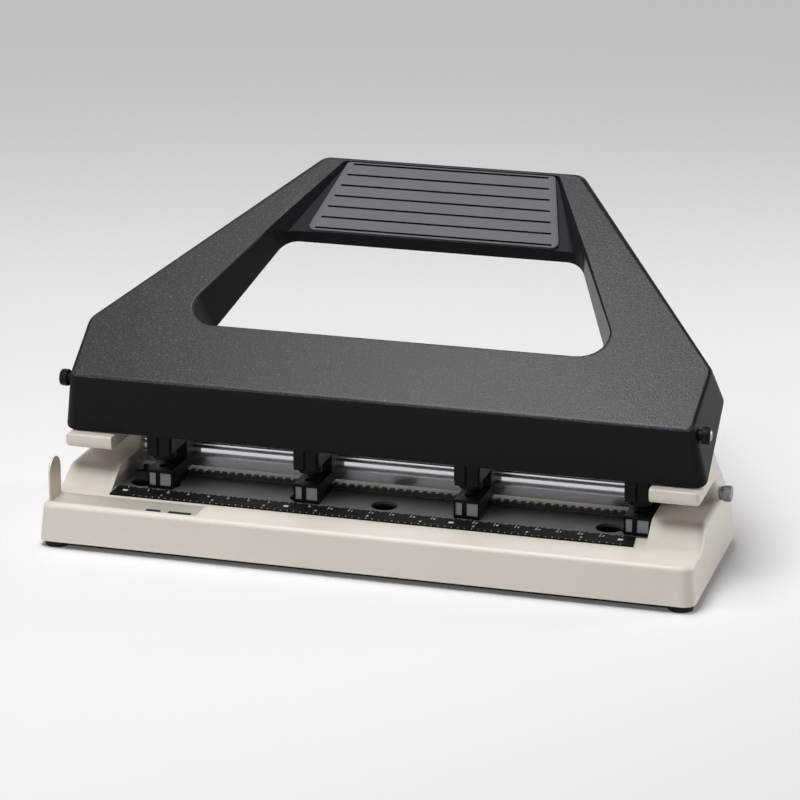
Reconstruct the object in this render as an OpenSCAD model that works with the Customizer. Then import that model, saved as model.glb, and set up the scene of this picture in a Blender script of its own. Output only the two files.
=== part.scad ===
// Manual desk punch with four adjustable heads and one wide lever.
// Millimetres, +Z up. Z is 0 under the feet, X runs along the base, and the
// front edge, where the paper goes in, is at the low Y end.

/* [Base casting] */
// Length of the base at its lower edge
base_l = 314.4; // [312:0.1:318]
// Depth of the base at its lower edge, front to back
base_d = 105; // [100:0.5:115]
// Height of the deck above the casting's lower edge
skirt_h = 18.4; // [17:0.1:24]
// Gap between the desk and the casting's lower edge
lift = 3.5; // [3:0.1:6]
// Radius of the upright corners
corner_r = 6; // [3:0.5:10]
// Wall of the skirt
wall = 3; // [2:0.1:4]
// Thickness of the deck
deck_t = 4; // [3.4:0.1:5]
// How far the front and rear walls lean in between their lower edge and the deck
lean = 1.2; // [0:0.1:2]
// How far the end walls lean in between their lower edge and the deck
side_lean = 1.8; // [1.8:0.05:2.4]

/* [End cheeks] */
// Clear distance between the two cheeks
cheek_gap = 259; // [256:0.5:264]
// Height of the paper shelf above the deck
shelf_h = 8.6; // [8:0.1:11]
// Height of the throat over the paper shelf
throat_h = 10.7; // [9:0.1:12]
// Distance from the base's front edge to the back of the throat
throat_d = 68.8; // [64:0.1:69.2]
// Distance from the base's front edge to the face of the arms
arm_front = 28; // [25:0.5:32]
// Height of the face of the arms
arm_h = 7; // [5:0.1:7.2]
// Distance from the base's front edge to where the ramp to the shelf starts
ramp_y = 24; // [22:0.5:26]
// Length of the ramp from the deck to the shelf
ramp_d = 18; // [12:0.5:20]

/* [Hinge] */
// Distance of the hinge from the base's front edge
hinge_y = 34.2; // [33.6:0.1:35]
// Height of the hinge above the desk
hinge_z = 74; // [73.6:0.1:76]
// Diameter of the hinge pins
hinge_pin_d = 5; // [4:0.1:5.4]
// Radius of the eye at the top of each arm
eye_r = 3.5; // [3.4:0.05:3.6]
// Slope of the open lever
tilt = 30.5; // [28:0.5:32]

/* [Lever] */
// Length of the lever's top, along its slope
lever_l = 159.4; // [155:0.1:165]
// Width of the lever's top at its front edge
lever_w = 299; // [298:0.1:300]
// Width of the lever's top at its shoulders
shoulder_w = 303; // [302:0.1:304]
// Distance from the front edge to the shoulders
shoulder_u = 38; // [36:0.1:44]
// Width of the lever's top at the grip
grip_w = 131; // [126:0.5:140]
// Depth of the skirt at the front
skirt_d = 28; // [27:0.1:28.2]
// Depth of the side skirt at the shoulders
shoulder_d = 27; // [25:0.1:27.4]
// Depth of the edge behind the grip
rear_d = 11; // [10:0.1:14]
// Wall of the lever cover
cover_t = 2; // [1.8:0.1:2.1]
// Distance of the hinge behind the front edge, along the slope
hinge_u = 4.4; // [4.3:0.05:4.8]
// Distance of the hinge below the lever's top
hinge_drop = 7; // [6.9:0.05:7.2]

/* [Window and grip] */
// Distance from the front edge to the window
win_u0 = 40; // [40:0.5:46]
// Distance from the front edge to the back of the window
win_u1 = 112; // [100:0.5:114]
// Width of the window at its front edge
win_w0 = 216; // [190:1:218]
// Width of the window at its back edge
win_w1 = 152; // [140:1:156]
// Width of the grip pad at its front edge
pad_w0 = 126.6; // [110:0.1:128]
// Width of the grip pad at its back edge
pad_w1 = 105.4; // [90:0.1:108]
// Thickness of the grip pad
pad_t = 1.4; // [1.2:0.1:1.8]
// Number of grooves across the grip pad
grooves = 7; // [5:1:8]

/* [Punch heads] */
// Place of the first head along the base
head_x1 = -109.2; // [-112:0.5:-104]
// Place of the second head
head_x2 = -36.3; // [-40:0.5:-32]
// Place of the third head
head_x3 = 41.8; // [36:0.5:44]
// Place of the fourth head
head_x4 = 122.5; // [118:0.1:122.7]
// Width of a head
head_w = 12.4; // [11:0.1:12.6]
// Distance of the punch pins from the base's front edge
pin_y = 46; // [45.5:0.1:46.5]
// Diameter of the punch pins
pin_d = 6; // [5:0.1:6]
// Gap for the paper between the jaws
slot_h = 4.5; // [4.3:0.1:4.7]

/* [Rails and scale] */
// Depth of the guide bar, front to back
bar_w = 12; // [10:0.1:12]
// Thickness of the guide bar
bar_t = 4.9; // [4:0.1:5]
// Diameter of the lock shaft
shaft_d = 4.6; // [4:0.1:4.8]
// Diameter of the lock shaft's knob
knob_d = 7.6; // [6:0.1:9]
// Length of the knob
knob_l = 5.4; // [4:0.1:7]
// Hole spacing that the square marks on the scale stand for
pitch_four = 80; // [76:1:82]
// Spacing of the three-hole chip holes
pitch_three = 108; // [104:1:109]
// Diameter of the chip holes in the bed plate
chip_hole_d = 12.6; // [10:0.1:13]

/* [Chip drawer and guide] */
// Depth of the chip drawer, front to back
drawer_w = 38; // [30:0.5:40]
// Height of the chip drawer
drawer_h = 12.2; // [10:0.1:12.4]
// Length of the paper guide's strip
guide_l = 73; // [60:0.5:80]
// Width of the paper guide's strip
guide_w = 13.6; // [10:0.1:14]
// Height of the paper guide's tab above the deck
tab_h = 20; // [15:0.5:24]

/* [Hidden] */
$fn = 48;

// Clearances and the overrun of every cut
over = 1;
run_gap = 0.05;
slide_gap = 0.12;
seat_gap = 0.1;
loose_gap = 0.3;
speck = 0.01;

// Colours as the photo shows them
cream = [0.86, 0.83, 0.79];
black = [0.12, 0.12, 0.13];
ink = [0.05, 0.05, 0.06];
steel = [0.62, 0.63, 0.64];
bright = [0.8, 0.8, 0.82];
violet_grey = [0.48, 0.48, 0.52];
rubber = [0.1, 0.1, 0.1];
nickel = [0.66, 0.63, 0.56];

// Heights
deck_z = lift + skirt_h;
shelf_z = deck_z + shelf_h;
arm_z = shelf_z + throat_h;
ledge_z = arm_z + arm_h;
// Above this height the cheeks lean in to clear the lever's skirt
waist_z = ledge_z + 1.8 * over;
eye_top_z = hinge_z + eye_r;

// Half widths of the casting at those heights
side_lean_share = side_lean / skirt_h;
waist_x = base_l / 2 - side_lean_share * (waist_z - lift) - over / 5;
upper_lean_share = 0.2;
eye_x = waist_x - upper_lean_share * (eye_top_z - waist_z);

// Cheek outline
arm_round = 3;
ramp_steps = 12;
arc_steps = 12;
ledge_y = hinge_y + 2.2;
// Points of the cheek's rear edge, as shares from the hinge to the base's rear
// corner and from the casting's lower edge up to the hinge
rear_edge_shares = [[0.1, 1.02], [0.25, 0.943], [0.52, 0.765], [0.795, 0.44], [0.98, 0.12]];

// Origin of the lever's own frame and the depth of the whole punch
lever_y0 = hinge_y - hinge_u * cos(tilt) - hinge_drop * sin(tilt);
flare = 9.5;
side_flare = 5.5;
shoulder_flare = 2.3;
rear_flare = 1.6;
hollow_x = base_l / 2 - wall - side_lean;
overall_d = lever_y0 + (lever_l + rear_flare) * cos(tilt) + rear_d * sin(tilt);

// Bed plate, scale and rack
plate_t = 1.5;
plate_drop = 0.9;
plate_y0 = 34.3;
plate_d = 26.8;
plate_l = 262;
plate_top = deck_z - plate_drop;
// The strip is longer at its rear edge: places of its four corners along the base
scale_front_x = [-120.6, 118.6];
scale_rear_x = [-128.4, 123.2];
scale_y0 = 21;
scale_w = 12.6;
scale_t = 0.8;
rack_gap = 0.2;
rack_w = 2.6;
rack_h = 2;
rack_tooth = 2;
rack_y0 = plate_y0 + plate_d + rack_gap;
tooth_h = 0.9;

// Guide bar and lock shaft
bar_y0 = rack_y0 + rack_w + rack_gap * 2.5;
bar_top = shelf_z - rack_gap;
bar_pocket = 4;
shaft_y = bar_y0 + 9.6;
shaft_z = bar_top + shaft_d / 2 + 0.9;
shaft_in = 17.5;
// Gap between the cheek's outer face and the knob
knob_gap = 0.3;
face_at_shaft = base_l / 2 - side_lean_share * (shaft_z - lift);

// Heads
jaw_y = 38.5;
jaw_gap = 0.2;
jaw_top = shelf_z - rack_gap;
head_back = 60;
head_depth = 42;
carriage_z = deck_z + rack_h + 0.7;
jaw_under = 39;
nose_r = 5.5;
nose_z = jaw_top + slot_h;
head_top = 62;
catch_y = 36.3;
catch_w = 10.8;
catch_d = 4;
catch_z = 37.8;
catch_lip = 1.9;
catch_top = head_top - 0.8;
catch_push = 2;
catch_groove = 0.8;
brow_y = 62;
brow_z = 46;
window_w = 10.8;
window_h = 6.2;
window_depth = 1;
window_rib = 1.9;
rib_t = 0.4;
window_z = (plate_top + jaw_gap + jaw_top) / 2;

// Pins, dies and springs
die_r = 4.5;
die_h = 3;
chip_r = 3.6;
cap_r = 4.75;
cap_h = 2;
bar_reach = 13;
press_r = 3;
// Half of the lever's stroke: the pressure bar is this far above the hinge's
// level when the lever is open, and this far below it when it is closed
half_stroke = 12.5;
press_drop = half_stroke + (tilt - 2 * half_stroke);
press_u = hinge_u + bar_reach * cos(press_drop);
press_v = -hinge_drop - bar_reach * sin(press_drop);
pin_top = hinge_z + bar_reach * sin(half_stroke) - press_r - seat_gap;
pin_tip = nose_z + seat_gap;
wire_r = 0.4;
coil_r = 4;
curls = 4.5;
rings = 8;
sides = 6;
spring_z0 = head_top + seat_gap;
spring_z1 = pin_top - cap_h - seat_gap;

// Lever parts
ear_x = 127;
ear_t = 2.4;
ear_r = 3.3;
frame_t = 1.8;
frame_u0 = 2.4;
frame_u1 = win_u0 - cover_t - 0.8;
frame_v = -cover_t - seat_gap;
ear_u = 20;
boss_r = 4.6;
boss_x = 152.4;
bolt_r = 4;
bolt_h = 4.3;
// How far each wall of the window leans in per millimetre of depth
window_lean_share = 0.16;
ring_over = win_u0 / 4;
pocket_front = 6.4;
pocket_rear = 1.6;
pad_gap = 0.4;
pad_u0 = win_u1 + 0.4;
pad_u1 = lever_l - 2.6;
pocket_slope_share = (pocket_front - pocket_rear) / (pad_u1 - win_u1 + over);
pad_angle = atan(pocket_slope_share);
pad_v = -pocket_front + pocket_slope_share * (pad_u0 - win_u1 + over) + seat_gap / 2;
groove_w = 1.2;
groove_d = 0.8;
groove_margin = 1.6;
pad_margin = 3.6;

// Bottom plate, feet and drawer
plate_b = 1.5;
bottom_inset = 1.6;
foot_r = 5.8;
foot_in_x = 7.4;
foot_in_y = 8;
stem_r = 2;
drawer_y0 = 31;
drawer_t = 1.6;
drawer_lip = 0.8;
drawer_end = 146;

// Paper guide
groove_y = 4.6;
groove_depth = 1.2;
groove_end = -79.4;
guide_t = 1;
tab_t = 1;

// Drawn with Y measured from the base's front edge, then centred
module place() translate([0, -overall_d / 2, 0]) children();

// The lever's frame: X across, Y up the slope from the front edge, Z out of its top
module on_lever()
    place() translate([0, hinge_y, hinge_z]) rotate([tilt, 0, 0])
        translate([0, -hinge_u, hinge_drop]) children();

// A profile drawn in Y and Z, run along X
module across(length) rotate([90, 0, 90]) linear_extrude(length, center = true) children();

// A rod along X from x0 to x1
module rod(x0, x1, r) translate([x0, 0, 0]) rotate([0, 90, 0]) cylinder(h = x1 - x0, r = r);

// A box given by its two corners
module span(a, b) translate(a) cube(b - a);

module plan(l, d, r) {
    square([l - 2 * r, d], center = true);
    square([l, d - 2 * r], center = true);
    for (sx = [-1, 1], sy = [-1, 1])
        translate([sx * (l / 2 - r), sy * (d / 2 - r)]) circle(r);
}

module solid_between(points) hull() for (p = points) translate(p) cube(speck, center = true);

module skirt_profile() polygon([
    [0, lift], [base_d, lift], [base_d - lean, deck_z], [lean, deck_z]]);

module cheek_profile() polygon(concat(
    [[base_d / 2, lift], [ramp_y, lift]],
    [for (i = [0 : ramp_steps]) let (t = i / ramp_steps)
        [ramp_y + t * ramp_d, deck_z + shelf_h * (1 - cos(180 * t)) / 2]],
    [for (i = [0 : arc_steps]) let (a = 180 * i / arc_steps - 90)
        [throat_d - throat_h / 2 + throat_h / 2 * cos(a), shelf_z + throat_h / 2 * (1 + sin(a))]],
    [for (i = [0 : arc_steps / 2]) let (a = 90 * i / (arc_steps / 2))
        [arm_front + arm_round * (1 - sin(a)), arm_z + arm_round * (1 - cos(a))]],
    [[arm_front, ledge_z], [ledge_y, ledge_z]],
    [for (i = [0 : arc_steps]) let (a = 180 - 120 * i / arc_steps)
        [hinge_y + eye_r * cos(a), hinge_z + eye_r * sin(a)]],
    [for (s = rear_edge_shares)
        [hinge_y + s[0] * (base_d - hinge_y), lift + s[1] * (hinge_z - lift)]],
    [[base_d, lift]]));

// Half outline of the casting seen from the front, wide at the foot
module front_profile() {
    right = [[base_l / 2, lift], [waist_x, waist_z], [eye_x, eye_top_z + over]];
    polygon(concat(right, [for (i = [2 : -1 : 0]) [-right[i][0], right[i][1]]]));
}

module base_casting() color(cream) place() difference() {
    intersection() {
        union() {
            across(base_l + over) skirt_profile();
            for (s = [-1, 1]) translate([s * (cheek_gap + base_l) / 4, 0, 0])
                across((base_l - cheek_gap) / 2) cheek_profile();
        }
        translate([0, base_d + over, 0]) rotate([90, 0, 0])
            linear_extrude(base_d + 2 * over) front_profile();
        translate([0, base_d / 2, 0]) linear_extrude(eye_top_z + over) plan(base_l, base_d, corner_r);
    }
    // Hollow under the deck
    span([-hollow_x, wall + lean, lift - over],
         [hollow_x, base_d - wall - lean, deck_z - deck_t]);
    // Seat of the bed plate, and the slot that lets the chips through
    span([-plate_l / 2 - seat_gap, plate_y0 - seat_gap, plate_top - plate_t],
         [plate_l / 2 + seat_gap, plate_y0 + plate_d + seat_gap, plate_top + seat_gap]);
    span([-cheek_gap / 2, plate_y0 - seat_gap, plate_top],
         [cheek_gap / 2, plate_y0 + plate_d + seat_gap, deck_z + over]);
    span([-plate_l / 2 + deck_t, pin_y - chip_hole_d / 2 - over, lift],
         [plate_l / 2 - deck_t, pin_y + chip_hole_d / 2 + over, deck_z]);
    // Pockets of the guide bar
    span([-cheek_gap / 2 - bar_pocket, bar_y0, bar_top - bar_t],
         [cheek_gap / 2 + bar_pocket, bar_y0 + bar_w, bar_top]);
    // Bores of the lock shaft and of the hinge
    translate([0, shaft_y, shaft_z]) rod(-base_l / 2 - over, base_l / 2 + over, shaft_d / 2 + run_gap);
    translate([0, hinge_y, hinge_z]) rod(-base_l / 2 - over, base_l / 2 + over, hinge_pin_d / 2 + run_gap);
    // Mouth of the chip drawer in the left wall
    span([-base_l / 2 - over, drawer_y0 - loose_gap, lift - over],
         [over - hollow_x, drawer_y0 + drawer_w + loose_gap,
          lift + loose_gap * 2 + drawer_h]);
    // Groove of the paper guide
    span([-base_l / 2 - over, groove_y, deck_z - groove_depth],
         [groove_end, groove_y + guide_w + 2 * seat_gap, deck_z + over]);
}

module bottom_plate() color(black) place() difference() {
    translate([0, base_d / 2, lift - plate_b])
        linear_extrude(plate_b) plan(base_l - 2 * bottom_inset, base_d - 2 * bottom_inset, corner_r);
    for (i = [1 : 4]) translate(foot_place(i)) cylinder(h = lift + over, r = stem_r);
}

function foot_place(i) = [
    (i % 2 == 1 ? -1 : 1) * (base_l / 2 - foot_in_x), i < 3 ? foot_in_y : base_d - foot_in_y, 0];

module foot(i) color(rubber) place() translate(foot_place(i)) {
    cylinder(h = lift - plate_b, r = foot_r);
    cylinder(h = lift, r = stem_r - run_gap);
}

module chip_drawer() color(black) place() difference() {
    union() {
        span([-hollow_x - over, drawer_y0, lift + loose_gap],
             [drawer_end, drawer_y0 + drawer_w, lift + loose_gap + drawer_h]);
        // Front panel, flush in the left wall
        span([-base_l / 2 + side_lean, drawer_y0, lift + loose_gap],
             [-hollow_x, drawer_y0 + drawer_w, lift + loose_gap + drawer_h]);
    }
    span([-hollow_x, drawer_y0 + drawer_t, lift + loose_gap + drawer_t],
         [drawer_end - drawer_t, drawer_y0 + drawer_w - drawer_t, deck_z]);
    // Finger groove under the panel's top edge
    span([-base_l / 2, drawer_y0 + drawer_w / 4, lift + drawer_h - 3 * drawer_t],
         [-base_l / 2 + side_lean + drawer_lip, drawer_y0 + drawer_w * 3 / 4, lift + drawer_h - drawer_t]);
}

chip_places = [-1.5 * pitch_four, -pitch_three, -pitch_four / 2, 0,
               pitch_four / 2, pitch_three, 1.5 * pitch_four];

module bed_plate() color(steel) place() difference() {
    span([-plate_l / 2, plate_y0, plate_top - plate_t],
         [plate_l / 2, plate_y0 + plate_d, plate_top]);
    for (x = chip_places) translate([x, pin_y, lift])
        cylinder(h = deck_z, r = chip_hole_d / 2);
}

module scale_strip() color(ink) place() translate([0, scale_y0, deck_z])
    linear_extrude(scale_t) polygon([[scale_front_x[0], 0], [scale_front_x[1], 0],
        [scale_rear_x[1], scale_w], [scale_rear_x[0], scale_w]]);

// A comb: one tooth every two tooth widths
module stop_rack() color(steel) place() {
    count = floor(cheek_gap / (2 * rack_tooth)) - 1;
    x0 = -count * rack_tooth;
    translate([0, rack_y0 + rack_w, deck_z]) rotate([90, 0, 0]) linear_extrude(rack_w)
        polygon(concat([[x0, 0]],
            [for (i = [0 : count - 1], q = [0 : 3]) [
                x0 + (2 * i + [0, 1, 1, 2][q]) * rack_tooth,
                rack_h - (q < 2 ? 0 : tooth_h)]],
            [[-x0, 0]]));
}

module guide_bar() color(bright) place()
    span([-cheek_gap / 2 - bar_pocket, bar_y0, bar_top - bar_t],
         [cheek_gap / 2 + bar_pocket, bar_y0 + bar_w, bar_top]);

module lock_shaft() color(bright) place() translate([0, shaft_y, shaft_z]) {
    rod(-cheek_gap / 2 - shaft_in, face_at_shaft + knob_gap + over, shaft_d / 2);
    rod(face_at_shaft + knob_gap, face_at_shaft + knob_gap + knob_l, knob_d / 2);
}

module paper_guide() color(nickel) place() {
    z0 = deck_z - groove_depth + run_gap;
    y0 = groove_y + seat_gap;
    x0 = groove_end - guide_l - seat_gap;
    span([x0, y0, z0], [x0 + guide_l, y0 + guide_w, z0 + guide_t]);
    // Upright tab with a round top
    translate([x0 + tab_t / 2, 0, 0]) across(tab_t) {
        translate([y0, z0]) square([guide_w, tab_h - guide_w / 2 + groove_depth]);
        translate([y0 + guide_w / 2, deck_z + tab_h - guide_w / 2]) circle(guide_w / 2);
    }
}

head_places = [head_x1, head_x2, head_x3, head_x4];

module head_profile() polygon([
    [jaw_y, plate_top + jaw_gap], [rack_y0 - rack_gap, plate_top + jaw_gap],
    [rack_y0 - rack_gap, carriage_z], [jaw_y + head_depth, carriage_z],
    [jaw_y + head_depth, brow_z], [brow_y, head_top], [jaw_y, head_top],
    [jaw_y, jaw_under], [head_back, jaw_under], [head_back, jaw_top], [jaw_y, jaw_top]]);

module head(i) color(black) place() translate([head_places[i - 1], 0, 0]) {
    difference() {
        union() {
            across(head_w) head_profile();
            // Nose that guides the pin down to the paper
            translate([0, pin_y, nose_z]) cylinder(h = jaw_under - nose_z + over, r = nose_r);
        }
        span([-head_w, bar_y0 - slide_gap, bar_top - bar_t - slide_gap],
             [head_w, bar_y0 + bar_w + slide_gap, bar_top + slide_gap]);
        translate([0, shaft_y, shaft_z]) rod(-head_w, head_w, shaft_d / 2 + run_gap);
        translate([0, pin_y, jaw_top + over]) cylinder(h = head_top, r = pin_d / 2 + run_gap);
        translate([0, pin_y, jaw_top - die_h]) cylinder(h = die_h + over, r = die_r + run_gap);
        translate([0, pin_y, lift]) cylinder(h = jaw_top - lift, r = chip_r);
        // Pocket of the catch, deep enough to push it in
        span([-catch_w / 2 - seat_gap, jaw_y - over, jaw_under - seat_gap],
             [catch_w / 2 + seat_gap, catch_y + catch_d + catch_push + seat_gap, catch_top + seat_gap]);
        span([-window_w / 2, jaw_y - over, window_z - window_h / 2],
             [window_w / 2, jaw_y + window_depth, window_z + window_h / 2]);
    }
    // Rib across the middle of the index window
    span([-window_rib / 2, jaw_y, window_z - window_h / 2 - rib_t],
         [window_rib / 2, jaw_y + rib_t, window_z + window_h / 2 + rib_t]);
}

// Push-in catch in the face of the head
module catch(i) color(black) place() translate([head_places[i - 1], 0, 0]) difference() {
    across(catch_w) polygon([
        [catch_y, catch_z], [catch_y + catch_lip, catch_z], [catch_y + catch_lip, jaw_under + seat_gap],
        [catch_y + catch_d, jaw_under + seat_gap], [catch_y + catch_d, catch_top], [catch_y, catch_top]]);
    span([-catch_groove / 2, catch_y - over, catch_z - over],
         [catch_groove / 2, catch_y + catch_groove, catch_top + over]);
}

module index_window(i) color(steel) place() translate([head_places[i - 1], 0, 0])
    span([-window_w / 2 + run_gap, jaw_y + rib_t + run_gap, window_z - window_h / 2 + run_gap],
         [window_w / 2 - run_gap, jaw_y + window_depth, window_z + window_h / 2 - run_gap]);

module die(i) color(bright) place() translate([head_places[i - 1], pin_y, jaw_top - die_h])
    difference() {
        cylinder(h = die_h, r = die_r);
        translate([0, 0, -over]) cylinder(h = die_h + 2 * over, r = pin_d / 2 + run_gap);
    }

module punch_pin(i) color(bright) place() translate([head_places[i - 1], pin_y, 0]) {
    translate([0, 0, pin_tip]) cylinder(h = pin_top - pin_tip, r = pin_d / 2);
    translate([0, 0, pin_top - cap_h]) cylinder(h = cap_h, r = cap_r);
}

// One unbroken tube wound round the pin
spring_rise = spring_z1 - spring_z0 - 2 * wire_r;
spring_count = floor(curls * rings);
function coil_point(k) =
    let (t = k / spring_count, a = 360 * curls * t)
    [coil_r * cos(a), coil_r * sin(a), spring_z0 + wire_r + spring_rise * t];
// A ring of the tube, square to the turn
function coil_ring(k) =
    let (p = coil_point(k), a = 360 * curls * k / spring_count)
    [for (s = [0 : sides - 1]) let (b = 360 * s / sides)
        p + wire_r * [cos(b) * cos(a), cos(b) * sin(a), sin(b)]];
spring_gap = spring_rise / curls - 2 * wire_r;
echo(spring_gap = spring_gap);

module spring(i) color(steel) place() translate([head_places[i - 1], pin_y, 0])
    polyhedron(
        points = [for (k = [0 : spring_count]) each coil_ring(k)],
        faces = concat(
            [[for (s = [0 : sides - 1]) s]],
            [for (k = [0 : spring_count - 1], s = [0 : sides - 1], h = [0, 1])
                let (a = k * sides + s, b = k * sides + (s + 1) % sides)
                h == 0 ? [a, a + sides, b] : [b, a + sides, b + sides]],
            [[for (s = [sides - 1 : -1 : 0]) spring_count * sides + s]]));

// Corner points of the cover: its top, and the lower edge of its skirt
function cover_points(inset, top, below) = [for (s = [-1, 1]) each [
    [s * (lever_w / 2 - inset), inset, top],
    [s * (shoulder_w / 2 - inset), shoulder_u, top],
    [s * (grip_w / 2 - inset), lever_l - inset, top],
    [s * (lever_w / 2 + side_flare - inset), inset - flare, -skirt_d - below],
    [s * (shoulder_w / 2 + shoulder_flare - inset), shoulder_u + flare * 3 / 4, -shoulder_d - below],
    [s * (grip_w / 2 + rear_flare - inset), lever_l + rear_flare - inset, -rear_d - below]]];

// Half width of the window's opening along the slope, at the top
function win_half(u) = (win_w0 + (win_w1 - win_w0) * (u - win_u0) / (win_u1 - win_u0)) / 2;

// The window with its walls moved out by rim, from above the top to below the skirt
module window_block(rim, up, down) solid_between([for (s = [-1, 1], v = [up, -down]) each [
    [s * (win_half(win_u0) + rim + window_lean_share * v), win_u0 - rim, v],
    [s * (win_half(win_u1) + rim + window_lean_share * v), win_u1 + rim, v]]]);

// The pocket of the grip pad, deep at the window and shallow at the rear edge
module pocket(rim, front, rear) solid_between([for (s = [-1, 1]) each [
    [s * (win_half(win_u1 - over) + rim), win_u1 - over - rim, over],
    [s * (win_half(pad_u1) + rim), pad_u1 + rim, over],
    [s * (pad_w0 / 2 + pad_gap + rim), win_u1 - over - rim, -front],
    [s * (pad_w1 / 2 + pad_gap + rim), pad_u1 + rim, -rear]]]);

module lever_cover() color(black) on_lever() difference() {
    union() {
        difference() {
            solid_between(cover_points(0, 0, 0));
            difference() {
                solid_between(cover_points(cover_t, -cover_t, over));
                window_block(cover_t, over, skirt_d + 3 * over);
                pocket(cover_t, pocket_front + cover_t, pocket_rear + cover_t);
            }
        }
        // Flat seats for the heads of the hinge pins
        for (s = [0, 1]) mirror([s, 0, 0]) translate([0, hinge_u, -hinge_drop])
            rod(lever_w / 2 + seat_gap, boss_x, boss_r);
    }
    window_block(0, over, skirt_d + 4 * over);
    pocket(0, pocket_front, pocket_rear);
    translate([0, hinge_u, -hinge_drop]) rod(-lever_w, lever_w, hinge_pin_d / 2 + run_gap);
}

module grip_pad() color(violet_grey) on_lever()
    translate([0, pad_u0, pad_v]) rotate([pad_angle, 0, 0]) difference() {
        len = (pad_u1 - pad_u0) / cos(pad_angle) - seat_gap;
        linear_extrude(pad_t) polygon([
            [-pad_w0 / 2, 0], [pad_w0 / 2, 0], [pad_w1 / 2, len], [-pad_w1 / 2, len]]);
        pitch = (len - 2 * groove_margin) / (grooves - 1);
        for (g = [0 : grooves - 1]) {
            y = groove_margin + g * pitch;
            half = pad_w0 / 2 + (pad_w1 - pad_w0) / 2 * y / len - pad_margin;
            span([-half, y - groove_w / 2, pad_t - groove_d], [half, y + groove_w / 2, pad_t + over]);
        }
    }

module ear_profile() difference() {
    union() {
        polygon([[frame_u0, frame_v - frame_t / 2], [hinge_u + ear_u, frame_v - frame_t / 2],
                 [hinge_u + ear_r, -hinge_drop - ear_r], [hinge_u, -hinge_drop - ear_r], [frame_u0, -hinge_drop]]);
        translate([hinge_u, -hinge_drop]) circle(ear_r);
    }
    translate([hinge_u, -hinge_drop]) circle(hinge_pin_d / 2 + run_gap);
}

module lever_frame() color(steel) on_lever() {
    span([-ear_x, frame_u0, frame_v - frame_t], [ear_x, frame_u1, frame_v]);
    for (s = [-1, 1]) translate([s * (ear_x - ear_t / 2), 0, 0]) across(ear_t) ear_profile();
}

module pressure_bar() color(bright) on_lever() across(2 * (ear_x - ear_t - run_gap)) {
    translate([press_u - press_r, press_v]) square([2 * press_r, frame_v - frame_t - press_v]);
    translate([press_u, press_v]) circle(press_r);
}

// i is 1 on the left and 2 on the right
module hinge_pin(i) color(black) on_lever() mirror([2 - i, 0, 0])
    translate([0, hinge_u, -hinge_drop]) {
        rod(ear_x - ear_t - over, boss_x + over, hinge_pin_d / 2);
        rod(boss_x, boss_x + bolt_h, bolt_r);
    }

base_casting();
bottom_plate();
foot(1);  // foot_1
foot(2);  // foot_2
foot(3);  // foot_3
foot(4);  // foot_4
chip_drawer();
bed_plate();
scale_strip();
stop_rack();
guide_bar();
lock_shaft();
paper_guide();
head(1);  // head_1
head(2);  // head_2
head(3);  // head_3
head(4);  // head_4
die(1);  // die_1
die(2);  // die_2
die(3);  // die_3
die(4);  // die_4
catch(1);  // catch_1
catch(2);  // catch_2
catch(3);  // catch_3
catch(4);  // catch_4
index_window(1);  // index_window_1
index_window(2);  // index_window_2
index_window(3);  // index_window_3
index_window(4);  // index_window_4
punch_pin(1);  // punch_pin_1
punch_pin(2);  // punch_pin_2
punch_pin(3);  // punch_pin_3
punch_pin(4);  // punch_pin_4
spring(1);  // spring_1
spring(2);  // spring_2
spring(3);  // spring_3
spring(4);  // spring_4
lever_cover();
grip_pad();
lever_frame();
pressure_bar();
hinge_pin(1);  // hinge_pin_1
hinge_pin(2);  // hinge_pin_2
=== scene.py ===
# %% [markdown]
# # A manual four-head desk punch
# A cream die-cast base carries four sliding punch heads. One wide black lever
# presses all four punches at once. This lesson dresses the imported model: each
# piece gets a finer mesh or a better finish, and stays where the model has it.

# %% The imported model
import math

import bmesh
import bpy
from mathutils import Matrix, Vector


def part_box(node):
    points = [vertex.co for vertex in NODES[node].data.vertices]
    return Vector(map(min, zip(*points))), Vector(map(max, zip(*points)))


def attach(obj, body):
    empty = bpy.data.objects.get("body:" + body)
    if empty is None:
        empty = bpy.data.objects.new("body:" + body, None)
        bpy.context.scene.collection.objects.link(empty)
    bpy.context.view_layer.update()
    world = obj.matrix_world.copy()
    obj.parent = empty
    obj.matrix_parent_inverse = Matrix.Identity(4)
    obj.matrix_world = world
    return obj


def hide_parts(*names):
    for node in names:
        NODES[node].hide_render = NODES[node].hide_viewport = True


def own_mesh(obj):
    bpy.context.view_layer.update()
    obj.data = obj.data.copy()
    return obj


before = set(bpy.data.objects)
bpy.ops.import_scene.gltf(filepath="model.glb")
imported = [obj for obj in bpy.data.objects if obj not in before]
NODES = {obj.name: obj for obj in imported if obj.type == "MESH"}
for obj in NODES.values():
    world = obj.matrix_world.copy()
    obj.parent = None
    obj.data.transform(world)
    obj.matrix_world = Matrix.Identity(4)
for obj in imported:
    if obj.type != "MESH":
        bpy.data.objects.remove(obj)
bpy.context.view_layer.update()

MM = 0.001
HEADS = (1, 2, 3, 4)
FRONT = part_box("base_casting")[0][1] / MM


def placed(thing):
    """Puts an object into the scene."""
    bpy.context.scene.collection.objects.link(thing)
    return thing


# %% [markdown]
# ## Where the camera stands
# The picture is taken from the right of the front, a little above the lever.
# A camera can be placed by eye, but then every outline is a little off. These
# numbers come from fitting the model's corners to the picture. The long lens
# stands far away and keeps the sides of the punch nearly parallel.

# %% Camera
AIM = Vector((0, 60 + FRONT, 63.5))
TURN, RISE, ROLL = (math.radians(a) for a in (15.788, 17.535, 0.300))
ASIDE, DOWN, AWAY = -3.275, -5.157, 1546.458
FOCAL_PIXELS, PICTURE_PIXELS, SENSOR, SIGHT = 3287.59, 800, 36, 20

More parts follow.
